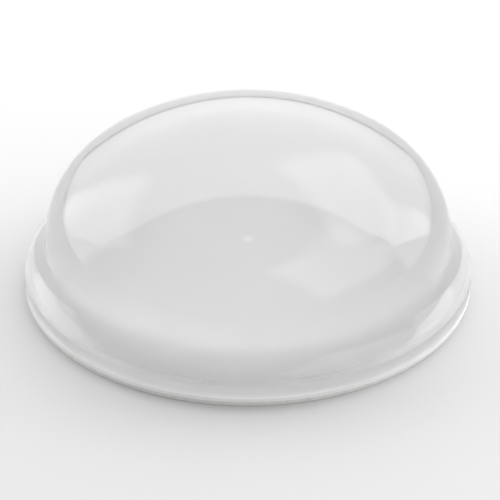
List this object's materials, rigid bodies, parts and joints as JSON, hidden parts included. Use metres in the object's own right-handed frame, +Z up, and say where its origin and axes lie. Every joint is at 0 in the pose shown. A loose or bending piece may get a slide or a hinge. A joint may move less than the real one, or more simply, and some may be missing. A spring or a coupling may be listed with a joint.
{
  "type": "stick-on bumper foot",
  "caption": "Clear elastic dome on a thin round flange, with an adhesive underside on a release liner: a small stick-on foot or door bumper.",
  "frame": {"origin": "centre of the liner's underside, which is the face the part rests on", "axes": "+Z up along the axis of symmetry, from the liner to the crown; X and Y lie in the plane of the underside"},
  "size_m": [0.0094, 0.0094, 0.0038],
  "materials": {
    "clear_elastomer": "gloss, clear and colourless",
    "adhesive": "satin, tacky, pale and milky",
    "liner": "satin, with a release coating on the upper side"
  },
  "bodies": {
    "liner": {"release_liner": "liner"},
    "bumper": {"bumper_dome": "clear_elastomer", "adhesive_film": "adhesive"}
  },
  "joints": [
    {"name": "peel_off_liner", "type": "slide", "parent": "liner", "child": "bumper", "axis": [0, 0, 1], "range_m": [0, 0.006]}
  ]
}
